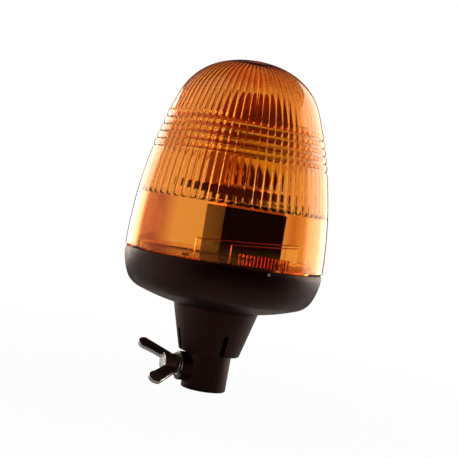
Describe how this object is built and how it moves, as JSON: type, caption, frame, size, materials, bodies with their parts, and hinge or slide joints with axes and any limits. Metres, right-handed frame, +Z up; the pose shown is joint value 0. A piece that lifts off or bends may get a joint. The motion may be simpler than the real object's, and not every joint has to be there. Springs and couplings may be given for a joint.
{
  "type": "rotating beacon",
  "caption": "Amber rotating warning beacon on a flexible rubber pole mount, with a fluted screw-off lens, turning reflector and wing-screw clamp.",
  "frame": {"origin": "centre of the pole socket's mouth", "axes": "+Z up along the pole and the lamp's axis; the clamping wing screw points along -X"},
  "size_m": [0.131, 0.131, 0.2181],
  "materials": {
    "black_moulding": "satin moulded, near black",
    "rubber": "smooth black rubber",
    "zinc": "zinc plated",
    "steel": "plain steel",
    "cast_zinc": "dull cast metal with bright edges",
    "brass": "turned",
    "bronze": "sintered",
    "grey_plastic": "satin",
    "gear_plastic": "natural acetal",
    "mirror_coat": "vacuum metallised",
    "bulb_glass": "clear",
    "amber": "clear amber, polished"
  },
  "bodies": {
    "base": {"base_housing": "black_moulding", "rubber_mount": "rubber", "pole_sleeve": "black_moulding", "threaded_insert": "zinc", "mount_clamp_ring": "zinc", "mount_clamp_screws": "zinc", "contact_holder": "grey_plastic", "seal_ring": "rubber", "chassis_plate": "black_moulding", "chassis_screws": "zinc", "suppressor": "grey_plastic", "drive_housing": "black_moulding", "gear_plate": "zinc", "gear_plate_screws": "zinc", "motor_can": "zinc", "idler_pin": "steel", "lamp_post": "black_moulding", "retaining_ring": "steel", "lamp_holder": "grey_plastic", "bulb_base": "steel", "bulb_glass": "bulb_glass", "bulb_filament": "steel", "bulb_clip": "steel"},
    "rotor": {"ring_gear": "gear_plastic", "rotor_bush": "bronze", "reflector": "mirror_coat", "reflector_bracket": "black_moulding", "counterweight": "steel"},
    "idler": {"idler_gear": "gear_plastic", "idler_pinion": "gear_plastic"},
    "motor_rotor": {"motor_shaft": "steel", "motor_pinion": "brass"},
    "cover": {"lens": "amber"},
    "clamp_washer": {"screw_washer": "zinc"},
    "clamp_screw": {"wing_screw": "cast_zinc"},
    "contact": {"contact_plunger": "brass"}
  },
  "joints": [
    {"name": "rotor_spin", "type": "hinge", "parent": "base", "child": "rotor", "pos_m": [0, 0, 0.129], "axis": [0, 0, 1], "continuous": true},
    {"name": "idler_spin", "type": "hinge", "parent": "base", "child": "idler", "pos_m": [0.02815, 0.01835, 0.126], "axis": [0, 0, 1], "continuous": true},
    {"name": "motor_spin", "type": "hinge", "parent": "base", "child": "motor_rotor", "pos_m": [0.0225, 0, 0.126], "axis": [0, 0, 1], "continuous": true},
    {"name": "lens_twist", "type": "hinge", "parent": "base", "child": "cover", "pos_m": [0, 0, 0.0863], "axis": [0, 0, 1], "range_deg": [0, 25]},
    {"name": "clamp_travel", "type": "slide", "parent": "base", "child": "clamp_washer", "axis": [-1, 0, 0], "range_m": [-0.0004, 0.006]},
    {"name": "clamp_turn", "type": "hinge", "parent": "clamp_washer", "child": "clamp_screw", "pos_m": [-0.0226, 0, 0.0155], "axis": [-1, 0, 0], "range_deg": [-117, 1730]},
    {"name": "contact_press", "type": "slide", "parent": "base", "child": "contact", "axis": [0, 0, 1], "range_m": [0, 0.003], "stiffness_N_per_m": 200, "springref_m": -0.002}
  ],
  "couplings": [
    {"joint": "idler_spin", "follows": "rotor_spin", "ratio": -6},
    {"joint": "motor_spin", "follows": "rotor_spin", "ratio": 18},
    {"joint": "clamp_turn", "follows": "clamp_travel", "rad_per_m": 5026.5}
  ]
}
